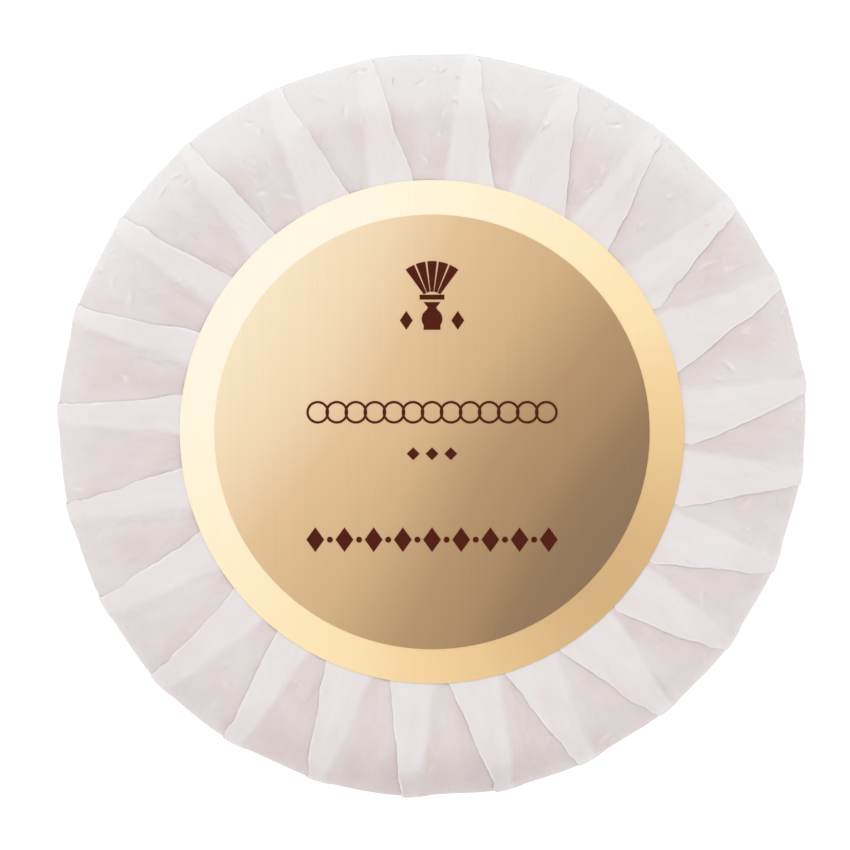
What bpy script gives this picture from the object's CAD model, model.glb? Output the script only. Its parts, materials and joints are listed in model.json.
"""Looks for the wrapped soap puck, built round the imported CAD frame.

Lengths are in millimetres until a mesh is made. Angles round the puck are in degrees, clockwise
from +Y seen from above, and s is the distance along the wrapper's outside from the underside,
up the wall and in over the top.
"""

import json
import math

import bpy
import numpy as np
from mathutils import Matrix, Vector, noise

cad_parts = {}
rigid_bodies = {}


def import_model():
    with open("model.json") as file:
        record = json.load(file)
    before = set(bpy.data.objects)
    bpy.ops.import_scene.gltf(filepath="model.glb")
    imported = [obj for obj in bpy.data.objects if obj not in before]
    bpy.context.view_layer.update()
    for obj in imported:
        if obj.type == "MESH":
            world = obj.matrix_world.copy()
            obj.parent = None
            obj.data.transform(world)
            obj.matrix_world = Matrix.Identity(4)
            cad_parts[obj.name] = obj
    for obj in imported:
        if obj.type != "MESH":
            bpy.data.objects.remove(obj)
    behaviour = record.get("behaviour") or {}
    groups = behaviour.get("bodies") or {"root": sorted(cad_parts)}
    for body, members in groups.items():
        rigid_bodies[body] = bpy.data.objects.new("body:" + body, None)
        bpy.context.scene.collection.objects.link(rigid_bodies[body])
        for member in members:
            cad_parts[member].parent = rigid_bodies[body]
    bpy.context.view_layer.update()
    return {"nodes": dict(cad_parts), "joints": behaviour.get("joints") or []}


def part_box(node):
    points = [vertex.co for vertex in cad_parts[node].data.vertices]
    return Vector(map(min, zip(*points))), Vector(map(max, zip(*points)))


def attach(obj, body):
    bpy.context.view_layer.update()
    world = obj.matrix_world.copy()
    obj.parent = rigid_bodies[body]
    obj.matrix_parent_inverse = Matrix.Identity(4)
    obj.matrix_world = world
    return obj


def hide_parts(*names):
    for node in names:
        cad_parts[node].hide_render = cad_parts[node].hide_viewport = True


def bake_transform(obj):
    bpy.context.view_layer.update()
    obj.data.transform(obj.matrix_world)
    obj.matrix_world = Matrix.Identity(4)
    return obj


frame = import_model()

MM = 0.001
SEED = 11


# ---------------------------------------------------------------- sizes, from the CAD frame

def box_mm(node):
    low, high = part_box(node)
    return np.array(low) / MM, np.array(high) / MM


HINGES = sorted((j for j in frame["joints"] if j["type"] == "hinge"), key=lambda j: j["name"])
PLEATS = len(HINGES)
ROOT = HINGES[0]["parent"]
PITCH_DEG = 360 / PLEATS

hinge_x, hinge_y, hinge_z = (v / MM for v in HINGES[0]["pos_m"])
COS45 = math.sqrt(0.5)
WALL_R = max(box_mm("wrapper_cup")[1][:2])
EDGE_R = (WALL_R - math.hypot(hinge_x, hinge_y)) / (1 - COS45)
FLAT_R = WALL_R - EDGE_R
ARC_Z = hinge_z - EDGE_R * COS45
LABEL_R = box_mm("label_face")[1][0]
PANEL_R = box_mm("label_panel")[1][0]
# Where the pleats end under the label, as in the CAD.
TIP_R = 12.0
SOAP_LOW, SOAP_HIGH = box_mm("soap_puck")

# The wrapper's meridian, as distances s at which its stretches end. The pleats begin at the
# seam radius under the cake, and s is measured from there.
SEAM_R = FLAT_R - 1.0
ARC_LENGTH = EDGE_R * math.pi / 2
S_LOWER = FLAT_R - SEAM_R
S_WALL = S_LOWER + ARC_LENGTH
S_UPPER = S_WALL + ARC_Z - EDGE_R
S_TOP = S_UPPER + ARC_LENGTH
S_TIP = S_TOP + FLAT_R - TIP_R
S_LABEL = S_TOP + FLAT_R - LABEL_R

# Where the folds between pleats fall: the same rule as the CAD's.
FIRST_FOLD_DEG = 2.5
DRIFT_DEG = 2.8
DRIFT_START_DEG = 30
LEAN_DEG = 5.7
LEAN_SWING_DEG = 3.2

# How a fold looks at the rim and at the label: clockwise from fold_deg, soft edge and free edge.
SOFT_RIM_DEG = 0.7
SOFT_LABEL_DEG = -1.8
FREE_RIM_DEG = 3.4

# Thickness of the paper, and the pitch of its layers where folds lie on each other.
PAPER_T = 0.05
LAYER_PITCH = 0.07


def smoothstep(x, low, high):
    """0 up to low, 1 from high on, and smooth between them. They may be in either order."""
    t = np.clip((x - low) / (high - low), 0, 1)
    return t * t * (3 - 2 * t)


def fold_deg(k):
    """Angle of the fold where pleat k ends."""
    a = k * PITCH_DEG
    return FIRST_FOLD_DEG + a + DRIFT_DEG * math.sin(math.radians(a + DRIFT_START_DEG))


def profile(s):
    """Radius, height and outward normal of the CAD wrapper's outside at distance s."""
    lower = np.clip((s - S_LOWER) / EDGE_R, 0, math.pi / 2)
    upper = np.clip((s - S_UPPER) / EDGE_R, 0, math.pi / 2)
    r = SEAM_R + np.clip(s, 0, S_LOWER) + EDGE_R * np.sin(lower)
    r = r - EDGE_R * (1 - np.cos(upper)) - np.clip(s - S_TOP, 0, None)
    z = EDGE_R * (1 - np.cos(lower)) + np.clip(s - S_WALL, 0, S_UPPER - S_WALL)
    z = z + EDGE_R * np.sin(upper)
    tilt = lower + upper
    return r, z, np.sin(tilt), -np.cos(tilt)


def line_deg(r, deg_rim, deg_label):
    """Angle at plan radius r on the straight line from the rim to the label's edge."""
    a = math.radians(deg_rim)
    b = math.radians(deg_label)
    rim = np.array([math.sin(a), math.cos(a)]) * WALL_R
    inwards = np.array([math.sin(b), math.cos(b)]) * LABEL_R - rim
    # The quadratic whose root t puts rim + t * inwards at radius r.
    qa = inwards @ inwards
    qb = 2 * (rim @ inwards)
    qc = rim @ rim - np.clip(r, TIP_R, WALL_R) ** 2
    t = (-qb - np.sqrt(np.clip(qb * qb - 4 * qa * qc, 0, None))) / (2 * qa)
    x = rim[0] + t * inwards[0]
    y = rim[1] + t * inwards[1]
    return np.degrees(np.arctan2(x, y))


# ---------------------------------------------------------------- meshes

def mesh_object(name, vertices, faces, sharp_rings=()):
    """A smooth-shaded mesh object from millimetre vertices. Edges inside a sharp ring stay crisp."""
    mesh = bpy.data.meshes.new(name)
    mesh.from_pydata((vertices * MM).tolist(), [], faces)
    mesh.polygons.foreach_set("use_smooth", np.ones(len(mesh.polygons), bool))
    if len(sharp_rings):
        ring_of = np.full(len(vertices), -1)
        for number, ring in enumerate(sharp_rings):
            ring_of[ring] = number
        ends = np.zeros(len(mesh.edges) * 2, np.int32)
        mesh.edges.foreach_get("vertices", ends)
        first, second = ring_of[ends.reshape(-1, 2)].T
        mesh.edges.foreach_set("use_edge_sharp", (first == second) & (first >= 0))
    mesh.update()
    piece = bpy.data.objects.new(name, mesh)
    bpy.context.scene.collection.objects.link(piece)
    return piece


def store(piece, name, values):
    """A per-point attribute: one number, or three, for each vertex."""
    kind = "FLOAT" if values.ndim == 1 else "FLOAT_VECTOR"
    attribute = piece.data.attributes.new(name, kind, "POINT")
    key = "value" if kind == "FLOAT" else "vector"
    attribute.data.foreach_set(key, values.astype(np.float32).ravel())


def grid_faces(rows, columns, start, flip):
    """Quads over a grid of vertices whose first index is start."""
    i, j = np.meshgrid(np.arange(rows - 1), np.arange(columns - 1), indexing="ij")
    a = (start + i * columns + j).ravel()
    quads = np.stack([a, a + 1, a + columns + 1, a + columns], 1)
    return quads[:, ::-1] if flip else quads


def border(rows, columns):
    """Indices of a grid's outline, in order."""
    grid = np.arange(rows * columns).reshape(rows, columns)
    return np.concatenate([grid[0, :-1], grid[:-1, -1], grid[-1, :0:-1], grid[:0:-1, 0]])


def sheet_normals(points):
    """Unit normals of a grid of points, out of the puck where columns run clockwise."""
    along = np.gradient(points, axis=0)
    across = np.gradient(points, axis=1)
    n = np.cross(across, along)
    return n / np.maximum(np.linalg.norm(n, axis=2, keepdims=True), 1e-12)


def paper_sheet(name, points, thickness):
    """A closed sheet of paper of that thickness about a grid of points."""
    rows, columns = points.shape[:2]
    count = rows * columns
    half = sheet_normals(points) * thickness / 2
    vertices = np.concatenate([(points + half).reshape(-1, 3), (points - half).reshape(-1, 3)])
    ring = border(rows, columns)
    following = np.roll(ring, -1)
    rim = np.stack([ring, ring + count, following + count, following], 1)
    faces = np.concatenate([
        grid_faces(rows, columns, 0, False),
        grid_faces(rows, columns, count, True),
        rim,
    ])
    return mesh_object(name, vertices, faces.tolist(), (ring, ring + count))


def revolve(name, radii, heights, steps, stretch):
    """A closed turned solid. The profile runs from the lower pole to the upper one, and stretch
    gives the factor on its radius at each azimuth."""
    turn = np.linspace(0, 2 * math.pi, steps, endpoint=False)
    r = np.array(radii[1:-1])[:, None] * stretch(90 - np.degrees(turn))
    z = np.array(heights[1:-1])[:, None]
    rings = np.stack([r * np.cos(turn), r * np.sin(turn), z + 0 * turn], 2).reshape(-1, 3)
    poles = np.array([[0, 0, heights[0]], [0, 0, heights[-1]]])
    faces = []
    for i in range(len(radii) - 3):
        for j in range(steps):
            a = i * steps + j
            b = i * steps + (j + 1) % steps
            faces.append((a, b, b + steps, a + steps))
    low = len(rings)
    last = low - steps
    for j in range(steps):
        following = (j + 1) % steps
        faces.append((following, j, low))
        faces.append((last + j, last + following, low + 1))
    return mesh_object(name, np.concatenate([rings, poles]), faces)


# ---------------------------------------------------------------- materials

class Nodes:
    """Short calls for building one material's node tree."""

    def __init__(self, name):
        self.material = bpy.data.materials.new(name)
        self.material.use_nodes = True
        self.tree = self.material.node_tree
        self.shader = self.tree.nodes["Principled BSDF"]

    def add(self, kind, **settings):
        node = self.tree.nodes.new(kind)
        for key, value in settings.items():
            setattr(node, key, value)
        return node

    def link(self, source, target):
        self.tree.links.new(source, target)

    def put(self, socket, value):
        if isinstance(value, bpy.types.NodeSocket):
            self.link(value, socket)
        else:
            socket.default_value = value

    def attribute(self, name, output="Fac"):
        return self.add("ShaderNodeAttribute", attribute_name=name).outputs[output]

    def position(self):
        """Object coordinates in millimetres."""
        scaled = self.add("ShaderNodeVectorMath", operation="SCALE")
        self.link(self.add("ShaderNodeTexCoord").outputs["Object"], scaled.inputs[0])
        scaled.inputs["Scale"].default_value = 1 / MM
        return scaled.outputs[0]

    def noise(self, vector, scale, detail=2.0, roughness=0.5, distortion=0.0, output="Fac"):
        node = self.add("ShaderNodeTexNoise")
        self.link(vector, node.inputs["Vector"])
        node.inputs["Scale"].default_value = scale
        node.inputs["Detail"].default_value = detail
        node.inputs["Roughness"].default_value = roughness
        node.inputs["Distortion"].default_value = distortion
        return node.outputs[output]

    def stretched(self, vector, scale):
        """The vector with each part scaled, so that textures run long where it is small."""
        node = self.add("ShaderNodeMapping")
        self.link(vector, node.inputs["Vector"])
        node.inputs["Scale"].default_value = scale
        return node.outputs["Vector"]

    def moved_about(self, vector, noise_colour, reach):
        """The vector shifted by up to reach along each axis, after a noise."""
        node = self.add("ShaderNodeVectorMath", operation="MULTIPLY_ADD")
        self.link(noise_colour, node.inputs[0])
        node.inputs[1].default_value = (reach, reach, reach)
        self.link(vector, node.inputs[2])
        return node.outputs[0]

    def cells(self, vector, scale):
        """Distance to the nearest of scattered points: facets with creases between them."""
        node = self.add("ShaderNodeTexVoronoi", feature="F1")
        self.link(vector, node.inputs["Vector"])
        node.inputs["Scale"].default_value = scale
        return node.outputs["Distance"]

    def math(self, operation, a, b=0.0, c=0.0):
        node = self.add("ShaderNodeMath", operation=operation)
        for socket, value in zip(node.inputs, (a, b, c)):
            self.put(socket, value)
        return node.outputs[0]

    def remap(self, value, low, high, to_low=0.0, to_high=1.0):
        node = self.add("ShaderNodeMapRange", clamp=True)
        self.link(value, node.inputs["Value"])
        limits = {"From Min": low, "From Max": high, "To Min": to_low, "To Max": to_high}
        for key, number in limits.items():
            self.put(node.inputs[key], number)
        return node.outputs["Result"]

    def mix(self, factor, a, b, blend="MIX"):
        node = self.add("ShaderNodeMix", data_type="RGBA", blend_type=blend)
        self.put(node.inputs["Factor"], factor)
        colours = [s for s in node.inputs if s.type == "RGBA"]
        self.put(colours[0], a)
        self.put(colours[1], b)
        return [s for s in node.outputs if s.type == "RGBA"][0]

    def toned(self, colour, tone):
        """The colour multiplied by a grey tone from 0 to 1."""
        grey = self.add("ShaderNodeCombineColor")
        for socket in grey.inputs:
            self.link(tone, socket)
        return self.mix(1.0, colour, grey.outputs["Color"], "MULTIPLY")

    def ramp(self, factor, stops):
        node = self.add("ShaderNodeValToRGB")
        self.link(factor, node.inputs["Fac"])
        elements = node.color_ramp.elements
        while len(elements) < len(stops):
            elements.new(0.5)
        for element, (place, colour) in zip(elements, stops):
            element.position = place
            element.color = colour
        return node.outputs["Color"]

    def bump(self, height, distance_mm, strength=1.0, normal=None):
        node = self.add("ShaderNodeBump")
        self.link(height, node.inputs["Height"])
        node.inputs["Distance"].default_value = distance_mm * MM
        node.inputs["Strength"].default_value = strength
        if normal is not None:
            self.link(normal, node.inputs["Normal"])
        return node.outputs["Normal"]

    def set(self, **values):
        for key, value in values.items():
            self.put(self.shader.inputs[key.replace("_", " ")], value)


def shown(red, green, blue):
    """A colour given as it shows on screen, 0 to 255, as the linear colour a shader takes."""
    values = [v / 255 for v in (red, green, blue)]
    linear = [v / 12.92 if v <= 0.04045 else ((v + 0.055) / 1.055) ** 2.4 for v in values]
    return (*linear, 1.0)


def soap_tint(m, sheet, streaked, triple):
    """The paper's colour: pink where one layer lies on the soap, and less through three."""
    patches = m.remap(m.noise(streaked, 0.22, 3.0), 0.36, 0.64, 0.5, 1.0)
    ragged = m.math("MULTIPLY_ADD", m.noise(sheet, 0.28, 4.0, 0.6), 0.9, -0.45)
    contact = m.math("ADD", m.attribute("contact"), ragged)
    pink = m.math("MULTIPLY", m.remap(contact, 0.0, 1.0), patches)
    single = m.mix(pink, shown(225, 223, 222), shown(218, 203, 202))
    faint = m.remap(m.noise(streaked, 0.3, 3.0), 0.35, 0.65, 0.0, 0.8)
    faint = m.math("MULTIPLY", m.math("ADD", faint, 0.2), m.remap(contact, 0.0, 0.6))
    folded = m.mix(faint, shown(230, 227, 227), shown(227, 219, 218))
    colour = m.mix(triple, single, folded)
    # Where the paper is drawn hardest against the soap, even its folds turn pink.
    return m.mix(m.remap(contact, 1.1, 1.7, 0.0, 0.75), colour, shown(210, 194, 195))


def edge_highlight(m, sheet, colour):
    """The free edge is a fold seen end on, so it catches the light here and there."""
    edge = m.remap(m.attribute("from_edge"), 0.02, 0.24, 1.0, 0.0)
    some = m.remap(m.noise(sheet, 0.25), 0.42, 0.62, 0.0, 0.8)
    return m.mix(m.math("MULTIPLY", edge, some), colour, shown(240, 237, 237))


def fine_creases(m, sheet, crumpled):
    """Creases too fine for the mesh: how far a point is on a ridge, and in the shade beside it."""
    across = m.math("SUBTRACT", m.noise(crumpled, 0.5, 1.0), 0.5)
    pinched = m.remap(m.noise(sheet, 0.33, 1.0), 0.6, 0.72)
    pinched = m.math("MULTIPLY", pinched, m.attribute("pinch"))
    ridge = m.remap(m.math("ABSOLUTE", across), 0.0, 0.03, 1.0, 0.0)
    shade = m.math("MULTIPLY", m.remap(across, 0.0, 0.02), m.remap(across, 0.02, 0.09, 1.0, 0.0))
    return m.math("MULTIPLY", ridge, pinched), m.math("MULTIPLY", shade, pinched)


def paper_material():
    """Thin white paper, crumpled a little, with the soap's pink showing through."""
    m = Nodes("wrapper_paper")
    sheet = m.attribute("sheet_mm", "Vector")
    streaked = m.stretched(sheet, (1.0, 0.4, 1.0))
    crumpled = m.moved_about(
        m.stretched(sheet, (1.0, 0.6, 1.0)), m.noise(sheet, 0.5, output="Color"), 1.5)
    # How far past the hidden fold: beyond it the paper is three layers thick.
    waver = m.math("MULTIPLY_ADD", m.noise(sheet, 0.35, 3.0), 1.0, -0.5)
    triple = m.remap(m.math("ADD", m.attribute("past_fold"), waver), -0.25, 0.35)
    colour = edge_highlight(m, sheet, soap_tint(m, sheet, streaked, triple))
    # The creases of the mesh, and the finer ones: a bright ridge with shade along one side.
    ridge, shade = fine_creases(m, sheet, crumpled)
    shaded = m.math("MULTIPLY_ADD", shade, 0.5, m.attribute("shade"))
    shining = m.math("MULTIPLY_ADD", ridge, 0.6, m.attribute("crest"))
    colour = m.mix(m.remap(shaded, 0.0, 1.0), colour, shown(209, 201, 201))
    colour = m.mix(m.remap(shining, 0.0, 1.2), colour, shown(243, 240, 240))
    clouds = m.remap(m.noise(streaked, 0.9, 4.0, 0.6), 0.3, 0.7, 0.97, 1.0)
    fibres = m.remap(m.noise(sheet, 5.0, 3.0, 0.7), 0.3, 0.7, 0.99, 1.0)
    m.set(Base_Color=m.toned(colour, m.math("MULTIPLY", clouds, fibres)))
    m.set(Roughness=m.remap(m.noise(sheet, 1.5, 3.0), 0.3, 0.7, 0.5, 0.66))
    m.set(Specular_IOR_Level=0.35)
    # Relief: facets between creases, flatter on the folded strips, then ridges, then grain.
    facets = m.math("MULTIPLY_ADD", m.cells(crumpled, 0.9), 0.3, m.cells(crumpled, 0.33))
    where = m.remap(m.noise(sheet, 0.12), 0.4, 0.62, 0.25, 1.0)
    where = m.math("MULTIPLY", where, m.math("MULTIPLY_ADD", triple, -0.6, 1.0))
    normal = m.bump(m.math("MULTIPLY", facets, where), 0.3)
    normal = m.bump(ridge, 0.06, normal=normal)
    m.set(Normal=m.bump(m.noise(sheet, 7.0, 2.0, 0.6), 0.005, normal=normal))
    return m.material


def soap_material():
    """Milled shaving soap: waxy, pale dusty pink, faintly mottled."""
    m = Nodes("soap")
    place = m.position()
    mottle = m.noise(place, 0.25, 5.0, 0.6, 0.8)
    colour = m.ramp(mottle, [(0.3, shown(214, 182, 178)), (0.7, shown(229, 201, 196))])
    m.set(Base_Color=colour)
    m.set(Roughness=m.remap(m.noise(place, 1.2, 4.0), 0.3, 0.7, 0.38, 0.55))
    m.set(Subsurface_Weight=0.15, Subsurface_Scale=0.0015)
    m.set(Normal=m.bump(m.noise(place, 0.5, 5.0, 0.55), 0.08))
    return m.material


# The foil's colours from the dark side of its sweep to the bright one: the pale foil that shows
# as a ring, and the darker panel on it.
RING_STOPS = [
    (0.0, shown(215, 177, 126)),
    (0.1, shown(235, 201, 146)),
    (0.2, shown(244, 211, 158)),
    (0.31, shown(251, 224, 175)),
    (0.46, shown(252, 231, 186)),
    (0.8, shown(254, 242, 213)),
    (1.0, shown(255, 246, 228)),
]
PANEL_STOPS = [
    (0.0, shown(143, 116, 87)),
    (0.11, shown(155, 123, 91)),
    (0.17, shown(171, 138, 98)),
    (0.29, shown(183, 149, 108)),
    (0.47, shown(211, 177, 132)),
    (0.71, shown(229, 195, 151)),
    (0.83, shown(242, 215, 177)),
    (1.0, shown(250, 232, 199)),
]


def conic_gradient(m, place, bright_deg):
    """0 to 1, brightest towards bright_deg and stronger away from the label's centre."""
    parts = m.add("ShaderNodeSeparateXYZ")
    m.link(place, parts.inputs[0])
    x, y = parts.outputs["X"], parts.outputs["Y"]
    a = math.radians(bright_deg)
    towards = m.math("ADD", m.math("MULTIPLY", x, math.sin(a)), m.math("MULTIPLY", y, math.cos(a)))
    squares = m.math("ADD", m.math("MULTIPLY", x, x), m.math("MULTIPLY", y, y))
    radius = m.math("MAXIMUM", m.math("SQRT", squares), 0.01)
    side = m.math("DIVIDE", towards, radius)
    reach = m.math("POWER", m.math("DIVIDE", radius, PANEL_R), 0.75)
    swing = m.math("MULTIPLY", side, m.math("MINIMUM", reach, 1.0))
    return m.math("MULTIPLY_ADD", swing, 0.5, 0.5)


def foil_material(name, stops, bright_deg, metallic, roughness, brushed):
    """Gold foil printed with a soft sweep from light to dark, with fine upright brushing."""
    m = Nodes(name)
    place = m.position()
    colour = m.ramp(conic_gradient(m, place, bright_deg), stops)
    streaks = m.noise(m.stretched(place, (1.0, 0.012, 1.0)), 4.5, 3.0, 0.7)
    m.set(Base_Color=m.toned(colour, m.remap(streaks, 0.3, 0.7, 1 - brushed, 1.0)))
    m.set(Metallic=metallic, Specular_IOR_Level=0.3)
    m.set(Roughness=m.remap(streaks, 0.3, 0.7, roughness - 0.04, roughness + 0.04))
    m.set(Normal=m.bump(streaks, 0.002))
    return m.material


def ink_material():
    """Dark red-brown printing ink."""
    m = Nodes("label_ink")
    mottle = m.noise(m.position(), 3.0, 3.0)
    m.set(Base_Color=m.ramp(mottle, [(0.3, shown(70, 18, 2)), (0.7, shown(86, 25, 5))]))
    m.set(Roughness=m.remap(mottle, 0.3, 0.7, 0.55, 0.7), Specular_IOR_Level=0.12)
    m.set(Normal=m.bump(mottle, 0.004))
    return m.material


def glue_material():
    """Dried clear glue on the label's back, with drawn-out streaks."""
    m = Nodes("label_adhesive")
    place = m.position()
    streaks = m.noise(place, 0.6, 4.0, 0.6, 2.0)
    m.set(Base_Color=m.ramp(streaks, [(0.3, shown(226, 219, 200)), (0.7, shown(240, 236, 224))]))
    m.set(Roughness=m.remap(streaks, 0.3, 0.7, 0.18, 0.4))
    m.set(Normal=m.bump(streaks, 0.03))
    return m.material


def floor_material():
    """A pale floor that glows enough to stay white."""
    m = Nodes("studio_floor")
    m.set(Base_Color=(0.4, 0.4, 0.4, 1.0), Roughness=0.9, Specular_IOR_Level=0.0)
    m.set(Emission_Color=(1.0, 1.0, 1.0, 1.0), Emission_Strength=0.75)
    return m.material


def dress(piece, material):
    """Gives the piece that one material."""
    piece.data.materials.clear()
    piece.data.materials.append(material)


# ---------------------------------------------------------------- wrapper: the shape of the puck

# How far the puck departs from a true circle: its mean, then waves round it as the number of
# crests, their size and the azimuth of one: a shift, an oval, a rounded triangle and pentagon.
MEAN_SWELL = 0.1
OUT_OF_ROUND = ((1, 0.18, -23), (2, 0.24, 67), (3, 0.1, -48), (5, 0.09, 16))

# Smaller random waves: crests round the puck, their size, and how far they turn with height.
RANDOM_WAVES = (5, 7, 11, 13)
WAVE_SIZE = 0.13
WAVE_CLIMB = 0.12

# How far the paper stands out at a fold's free edge, and sags in midway to the next one.
CORNER_OUT = 0.05
SAG_LOW, SAG_HIGH = 0.03, 0.19
CORNERS_DEG = np.array([fold_deg(k) + FREE_RIM_DEG for k in range(-1, PLEATS + 1)])

# Over the top the paper stands this far off the CAD's, up to the label.
TOP_RISE = 0.2

# The paper stands clear of the soap at the shoulder's far side, about this azimuth, inwards to
# this far past the top of the wall.
LOOSE_DEG = -5
LOOSE_DEPTH = 8.2


def out_of_round(deg):
    """How far the puck departs from a true circle, towards each azimuth."""
    waves = sum(size * np.cos(np.radians(n * (deg - az))) for n, size, az in OUT_OF_ROUND)
    return MEAN_SWELL + waves


def stand_off(deg, s, r):
    """How far the paper stands off the CAD wrapper, for every layer alike."""
    rng = np.random.default_rng(SEED)
    total = out_of_round(deg)
    for waves in RANDOM_WAVES:
        phase = rng.uniform(0, 2 * math.pi)
        climb = rng.uniform(-WAVE_CLIMB, WAVE_CLIMB)
        turn = waves * np.radians(deg) + phase + climb * (s - S_UPPER)
        total += np.cos(turn) * WAVE_SIZE / math.sqrt(waves)
    # Drawn tight, the paper runs nearly straight from one fold to the next.
    sag = rng.uniform(SAG_LOW, SAG_HIGH, PLEATS)
    span = np.clip(np.searchsorted(CORNERS_DEG, deg, side="right") - 1, 0, PLEATS)
    low = CORNERS_DEG[span]
    high = CORNERS_DEG[span + 1]
    t = np.clip((deg - low) / (high - low), 0, 1)
    hollow = 0.7 * t * (1 - t) + 0.82 * np.sin(math.pi * t) ** 2
    total += CORNER_OUT - sag[span % PLEATS] * hollow
    rise = smoothstep(s, S_LOWER, S_WALL + 2)
    settle = smoothstep(r, LABEL_R + 0.6, FLAT_R + 1.5)
    on_top = smoothstep(s, S_UPPER + ARC_LENGTH * 0.3, S_TOP) * TOP_RISE
    return total * rise * np.where(s > S_UPPER, settle, 1.0) + on_top


def lies_on_soap(deg, s):
    """1 where the paper lies on the soap, less where it stands clear at the far shoulder."""
    off = (deg - LOOSE_DEG + 180) % 360 - 180
    reach = np.sqrt(np.clip(np.cos(np.radians(1.4 * off)), 0, 1)) * (np.abs(off) < 90)
    edge = S_UPPER + LOOSE_DEPTH * reach
    on_wall = 0.55 + 0.45 * smoothstep(s, S_UPPER - 9, S_UPPER - 3)
    return 1 - smoothstep(reach, 0, 0.4) * (1 - smoothstep(s, edge - 2.2, edge + 2.0)) * on_wall


# ---------------------------------------------------------------- wrapper: the folds

def along_samples():
    """Distances s of a pleat's rows: close over the rim and top, wide where hidden."""
    under_label = S_LABEL + 0.5
    ends = (0, S_LOWER, S_WALL, S_UPPER, S_TOP, under_label)
    counts = (2, 10, 14, 54, 42)
    rows = [np.linspace(a, b, n, endpoint=False) for a, b, n in zip(ends, ends[1:], counts)]
    return np.concatenate([*rows, np.linspace(under_label, S_TIP, 14)])


def fold_lines(k, s, r, rng):
    """Soft edge and free edge of fold k, in degrees, at each row."""
    shift = rng.normal(0, 0.4)
    lean = LEAN_DEG + LEAN_SWING_DEG * math.sin(math.radians(k * PITCH_DEG)) + rng.normal(0, 1.0)
    soft_label = SOFT_LABEL_DEG + rng.normal(0, 0.8)
    soft = line_deg(r, SOFT_RIM_DEG, soft_label)
    free = line_deg(r, FREE_RIM_DEG, FREE_RIM_DEG + lean)
    # On the wall the fold narrows with the paper's spare length, to nothing at the underside.
    spare = (SEAM_R + s - r) / (SEAM_R + S_UPPER - WALL_R)
    middle = (SOFT_RIM_DEG + FREE_RIM_DEG) / 2
    half = np.maximum((FREE_RIM_DEG - SOFT_RIM_DEG) / 2 * spare, 0.1)
    below = s <= S_UPPER
    soft = np.where(below, middle - half, np.maximum(soft, soft_label - 0.4))
    free = np.where(below, middle + half, free)
    # Folded by hand, the free edge wanders: slowly, with small ripples.
    waver = np.array([noise.noise(Vector((k * 3.7, v * 0.45, 1.3))) for v in s])
    ripple = np.array([noise.noise(Vector((k * 3.7, v * 1.3, 5.9))) for v in s])
    free = free + (waver * 0.5 + ripple * 0.14) * smoothstep(s, S_WALL, S_UPPER)
    start = fold_deg(k) + shift
    return start + soft, start + free


def fold_table():
    """The rows' s and r, and every fold's soft and free edge with room kept between neighbours."""
    s = along_samples()
    r = profile(s)[0]
    rng = np.random.default_rng(SEED + 1)
    folds = [fold_lines(k, s, r, rng) for k in range(PLEATS)]
    room = np.degrees(0.5 / r)
    table = []
    for k, (soft, free) in enumerate(folds):
        following = folds[(k + 1) % PLEATS][0] + (360 if k == PLEATS - 1 else 0)
        table.append((soft, np.minimum(free, following - room)))
    return s, r, table


# ---------------------------------------------------------------- wrapper: one pleat

CREASES = 16
CREASE_HEIGHT = 0.11
# Height of a panel's billow and of a folded strip's puff.
BILLOW = 0.10
PUFF = 0.03
# Columns of a pleat's grid: panel, strip, turn at the free edge and layer folded back.
PANEL_COLUMNS = 58
STRIP_COLUMNS = 20
TURN_COLUMNS = 6
RETURN_COLUMNS = 5


def creases(k, arc, s):
    """Short pinched ridges over pleat k, steep on one side. Returns the height at each point, and
    how far it lies on a crest and in the shade at a crest's steep side, both from 0 to 1."""
    rng = np.random.default_rng(SEED + 100 + k)
    height, crest, shade = np.zeros((3, *arc.shape))
    middle = arc.mean()
    for _ in range(CREASES):
        d_arc = arc - (middle + rng.uniform(-5.5, 5.5))
        d_s = s - (S_LABEL - (S_LABEL - S_WALL) * rng.beta(1.6, 2.2))
        turn = rng.uniform(0, 2 * math.pi)
        length = rng.uniform(0.25, 0.9)
        steep = rng.uniform(0.1, 0.2)
        gentle = rng.uniform(0.4, 0.9)
        bow = rng.uniform(-0.22, 0.22)
        strength = rng.uniform(0, 1) ** 1.8
        lengthways = d_arc * math.cos(turn) + d_s * math.sin(turn)
        sideways = d_s * math.cos(turn) - d_arc * math.sin(turn) + bow * lengthways ** 2 / length
        width = np.where(sideways > 0, steep, gentle)
        reach = strength * np.exp(-(lengthways / length) ** 2)
        height += CREASE_HEIGHT * reach * np.exp(-np.abs(sideways) / width)
        crest += reach * np.exp(-(sideways / 0.17) ** 2)
        shade += reach * np.exp(-((sideways - 0.38) / 0.2) ** 2)
    return np.stack([height, np.clip(crest, 0, 1), np.clip(shade, 0, 1)])


def turned_under(soft, free, mm_per_deg, lift):
    """The free edge's turn and the layer folded back below it: angles, and heights, of columns
    that start two lifts up and end one lift up."""
    angle = np.linspace(0, math.pi, TURN_COLUMNS + 2)[None, 1:-1]
    turn_deg = free + lift / 2 * np.sin(angle) / mm_per_deg
    turn_h = 1.5 * lift + lift / 2 * np.cos(angle)
    back_deg = free - (free - soft) * np.linspace(0, 0.9, RETURN_COLUMNS)
    back_h = lift + 0 * back_deg
    return np.concatenate([turn_deg, back_deg], 1), np.concatenate([turn_h, back_h], 1)


def edge_curl(k, s_rows, to_edge):
    """Lift of the paper where its free edge curls up a little here and there."""
    waves = np.array([noise.noise(Vector((k * 5.1, v * 0.23, 9.7))) for v in s_rows])[:, None]
    return np.clip(0.04 + 0.12 * waves, 0, None) * smoothstep(to_edge, 1.8, -0.1)


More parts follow.
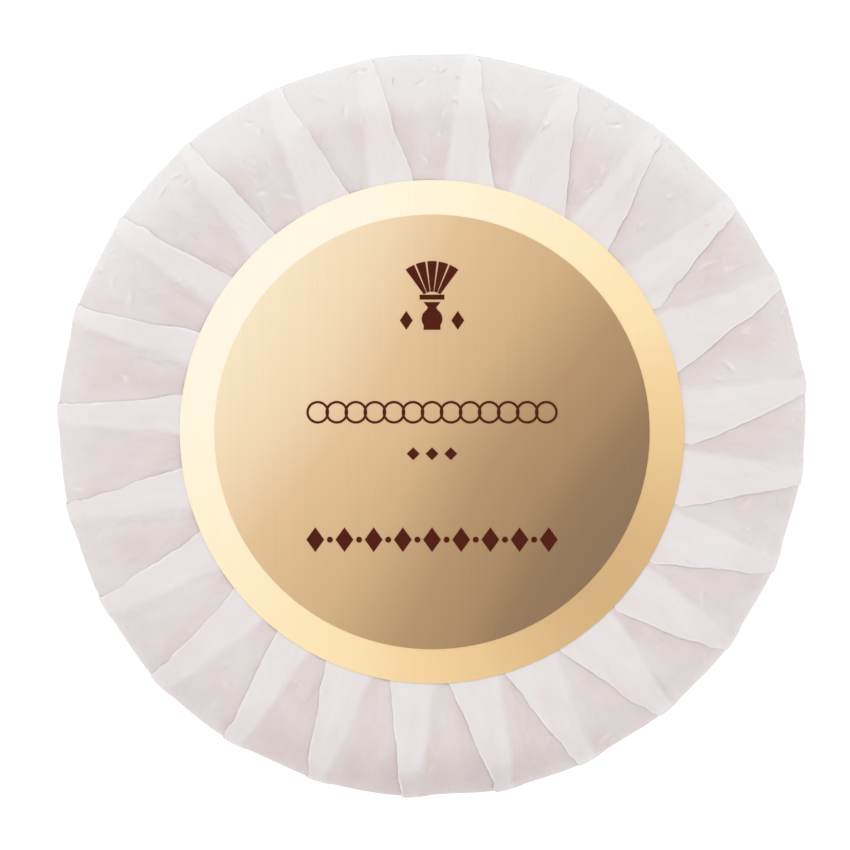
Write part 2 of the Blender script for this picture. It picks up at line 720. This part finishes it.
def on_the_puck(deg, s, r, h):
    """Points at heights h over the CAD wrapper's outside."""
    radius, z, out_r, out_z = profile(s)
    h = h + stand_off(deg, s + 0 * deg, r + 0 * deg)
    a = np.radians(deg)
    reach = radius + out_r * h
    return np.stack([reach * np.sin(a), reach * np.cos(a), z + out_z * h], 2)


def contact_with_soap(deg, s, r, from_overlap, raised):
    """How hard the paper lies on the soap, 1 where it shows fully: most in the pocket beside the
    overlap above it and round the near rim, and less where it is raised."""
    near_side = ((1 - np.cos(np.radians(deg))) / 2) ** 14
    pocket = np.exp(-np.clip(from_overlap, 0, None) / 1.8)
    snug = 0.72 + 0.4 * pocket + (1.1 * near_side - 0.24) * smoothstep(r, FLAT_R, WALL_R - 1)
    return np.clip(snug * (1 - 0.5 * raised) * lies_on_soap(deg, s), 0, 1.8)


def store_looks(piece, sheet_mm, **looks):
    """What the paper's material reads, alike on both faces of the sheet."""
    for name, values in looks.items():
        wide = values + np.zeros(sheet_mm.shape[:2])
        store(piece, name, np.tile(wide.ravel(), 2))
    store(piece, "sheet_mm", np.tile(sheet_mm.reshape(-1, 3), (2, 1)))


def pleat_piece(k, s_rows, r_rows, table):
    """Pleat k's paper: panel, rise over the fold below, free edge turned under and back."""
    full_turn = 360 if k == 0 else 0
    start, overlap = (edge[:, None] - full_turn for edge in table[k - 1])
    soft, free = (edge[:, None] for edge in table[k])
    s = s_rows[:, None]
    r = r_rows[:, None]
    mm_per_deg = r * math.pi / 180
    strip = (free - soft) * mm_per_deg
    lift = LAYER_PITCH * smoothstep(strip, 0.1, 0.8)

    # Columns, clockwise: over the panel, up the strip, round the free edge and back under.
    panel_deg = start + (soft - start) * np.linspace(0, 1, PANEL_COLUMNS)[:-1]
    strip_deg = soft + (free - soft) * np.linspace(0, 1, STRIP_COLUMNS)
    sheet_deg = np.concatenate([panel_deg, strip_deg], 1)
    under_deg, under_h = turned_under(soft, free, mm_per_deg, lift)
    past_soft = (sheet_deg - soft) * mm_per_deg
    from_overlap = (sheet_deg - overlap) * mm_per_deg
    ramp_end = 0.05 * strip
    sheet_h = 2 * lift * smoothstep((past_soft - ramp_end) / (1.4 + ramp_end), -1, 0)

    # Looseness of the top sheet alone: creases and puffing, none where another pleat lies on it.
    clear = smoothstep(from_overlap, 0.1, 1.2)
    open_air = smoothstep(r, LABEL_R + 0.3, LABEL_R + 2.5) * smoothstep(s, S_LOWER, S_WALL)
    on_strip = smoothstep(past_soft, -0.2, 0.6)
    arc = np.radians(sheet_deg) * WALL_R
    height, crest, shade = creases(k, arc, s + 0 * arc) * (1 - 0.6 * on_strip) * clear
    span = np.clip((sheet_deg - overlap) / (soft - overlap), 0, 1)
    billow = BILLOW * np.sin(span * math.pi) ** 2 * (1 - on_strip) * smoothstep(s, S_UPPER + 2, S_TOP)
    puff = PUFF * np.sin(np.clip(past_soft / strip, 0, 1) * math.pi) * on_strip
    sheet_h = sheet_h + (height + billow + puff) * clear * open_air

    deg = np.concatenate([sheet_deg, under_deg], 1)
    h = np.concatenate([sheet_h, under_h], 1)
    curl = edge_curl(k, s_rows, (free - deg) * mm_per_deg)
    h = h + curl * smoothstep(strip, 1.0, 2.5) * open_air
    piece = paper_sheet(f"paper_pleat_{k + 1:02d}", on_the_puck(deg, s, r, h), PAPER_T)

    raised = np.clip(height * 5, 0, 1)
    contact = contact_with_soap(sheet_deg, s, r, from_overlap, raised)
    upper_side = (1 + np.cos(np.radians(sheet_deg - 20))) / 2
    pinch = (0.25 + 0.75 * upper_side) * smoothstep(r, LABEL_R, LABEL_R + 4)
    hidden = np.zeros_like(under_deg)
    store_looks(
        piece,
        np.stack([np.radians(deg) * WALL_R, s + 0 * deg, 20.0 * k + 0 * deg], 2),
        past_fold=np.concatenate([past_soft, hidden + 9], 1),
        from_edge=np.clip((free - deg) * mm_per_deg, 0, None),
        contact=np.concatenate([contact, hidden], 1),
        pinch=np.concatenate([pinch, hidden], 1),
        crest=np.concatenate([crest * pinch, hidden], 1),
        shade=np.concatenate([shade * pinch, hidden], 1),
    )
    return piece


def make_wrapper(material):
    """The 24 pleats, each bending from the cup's body to its own."""
    s, r, table = fold_table()
    for k, joint in enumerate(HINGES):
        piece = pleat_piece(k, s, r, table)
        dress(piece, material)
        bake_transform(piece)
        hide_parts(joint["child"])


def make_wrapper_base(material):
    """The smooth disc of paper under the cake, out to where the pleats begin."""
    rings = np.linspace(SEAM_R, 0.3, 26)[:, None]
    turn = np.linspace(0, 2 * math.pi, 193)
    points = np.stack([rings * np.sin(turn), rings * np.cos(turn), PAPER_T / 2 + 0 * rings * turn], 2)
    piece = paper_sheet("paper_base", points, PAPER_T)
    store_looks(
        piece, points - [0, 0, 40],
        past_fold=-9.0, from_edge=9.0, contact=0.8, pinch=0.3, crest=0.0, shade=0.0,
    )
    dress(piece, material)
    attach(piece, ROOT)
    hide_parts("wrapper_cup")


# ---------------------------------------------------------------- soap and label

def make_soap():
    """The cake, a little inside its paper, with rounded edges."""
    edge = EDGE_R + 0.1
    side_r = WALL_R - 0.8
    face_r = side_r - edge
    low = SOAP_LOW[2] + 0.1
    high = SOAP_HIGH[2] + 0.12
    outwards = np.linspace(2, face_r, 12)
    inwards = np.linspace(face_r, 2, 14)[1:]
    turn = np.linspace(0, math.pi / 2, 12)
    radii = np.concatenate([
        [0], outwards,
        face_r + edge * np.sin(turn[1:]),
        face_r + edge * np.cos(turn),
        inwards, [0],
    ])
    heights = np.concatenate([
        [low], np.full(len(outwards), low),
        low + edge * (1 - np.cos(turn[1:])),
        high - edge * (1 - np.sin(turn)),
        np.full(len(inwards), high), [high],
    ])
    piece = revolve("soap_cake", radii, heights, 160, lambda deg: 1 + out_of_round(deg) / WALL_R)
    dress(piece, soap_material())
    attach(piece, ROOT)
    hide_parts("soap_puck")


def dress_label():
    """Materials for the four parts of the label, which are the CAD's own nodes."""
    nodes = frame["nodes"]
    ring = foil_material(
        "label_foil_pale", RING_STOPS, bright_deg=311, metallic=0.25, roughness=0.38, brushed=0.012)
    panel = foil_material(
        "label_foil_gold", PANEL_STOPS, bright_deg=303, metallic=0.35, roughness=0.36, brushed=0.03)
    dress(nodes["label_face"], ring)
    dress(nodes["label_panel"], panel)
    dress(nodes["label_print"], ink_material())
    dress(nodes["label_adhesive"], glue_material())


# ---------------------------------------------------------------- studio

# The camera leans this far from upright, and the label's centre is off the picture's by this much.
TILT_DEG = 3.3
LABEL_OFFSET_MM = 0.71
LENS_MM = 1000.0
SENSOR_MM = 36.0
# Width of the view at the label.
FRAME_WIDTH_MM = 85.9

# Soft discs of light: place and diameter in metres, power in watts.
LIGHTS = (
    ("key", (-0.12, 0.58, 0.68), 0.4, 1.8),
    ("low_right", (0.80, -0.36, 0.32), 0.4, 0.6),
    ("low_left", (-0.80, -0.36, 0.32), 0.4, 0.7),
    ("fill", (0.5, -0.3, 0.8), 0.7, 0.4),
)
WORLD_STRENGTH = 0.815
# The floor reaches this far each way and lies just below the paper, so that they never coincide.
FLOOR_REACH = 3000.0
FLOOR_Z = -0.1


def make_camera():
    """Almost straight above, leaning towards +Y, so that a sliver of the far wall shows."""
    data = bpy.data.cameras.new("camera")
    data.lens = LENS_MM
    data.sensor_width = SENSOR_MM
    camera = bpy.data.objects.new("camera", data)
    bpy.context.scene.collection.objects.link(camera)
    bpy.context.scene.camera = camera
    tilt = math.radians(TILT_DEG)
    distance = FRAME_WIDTH_MM * LENS_MM / SENSOR_MM * MM
    label_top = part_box("label_panel")[1].z
    aim = Vector((-LABEL_OFFSET_MM * MM, LABEL_OFFSET_MM * MM, label_top))
    camera.location = aim + Vector((0, math.sin(tilt), math.cos(tilt))) * distance
    camera.rotation_euler = (-tilt, 0, 0)
    data.clip_start = 0.05
    data.clip_end = distance * 4


def make_light(name, location, size, power):
    """A disc of light that faces the puck."""
    data = bpy.data.lights.new(name, "AREA")
    data.shape = "DISK"
    data.size = size
    data.energy = power
    light = bpy.data.objects.new(name, data)
    bpy.context.scene.collection.objects.link(light)
    light.location = location
    light.rotation_euler = (-Vector(location)).to_track_quat("-Z", "Y").to_euler()


def make_studio():
    """An even pale dome, the lights and the floor."""
    scene = bpy.context.scene
    scene.view_settings.view_transform = "Standard"
    scene.view_settings.look = "None"
    world = bpy.data.worlds.new("studio")
    world.use_nodes = True
    background = world.node_tree.nodes["Background"]
    background.inputs["Color"].default_value = (1, 1, 1, 1)
    background.inputs["Strength"].default_value = WORLD_STRENGTH
    scene.world = world
    for name, location, size, power in LIGHTS:
        make_light(name, location, size, power)

    signs = ((-1, -1), (1, -1), (1, 1), (-1, 1))
    corners = np.array([(x * FLOOR_REACH, y * FLOOR_REACH, FLOOR_Z) for x, y in signs])
    floor = mesh_object("studio_floor", corners, [(0, 1, 2, 3)])
    dress(floor, floor_material())


# ---------------------------------------------------------------- build

make_camera()
make_studio()
make_soap()
paper = paper_material()
make_wrapper_base(paper)
make_wrapper(paper)
dress_label()
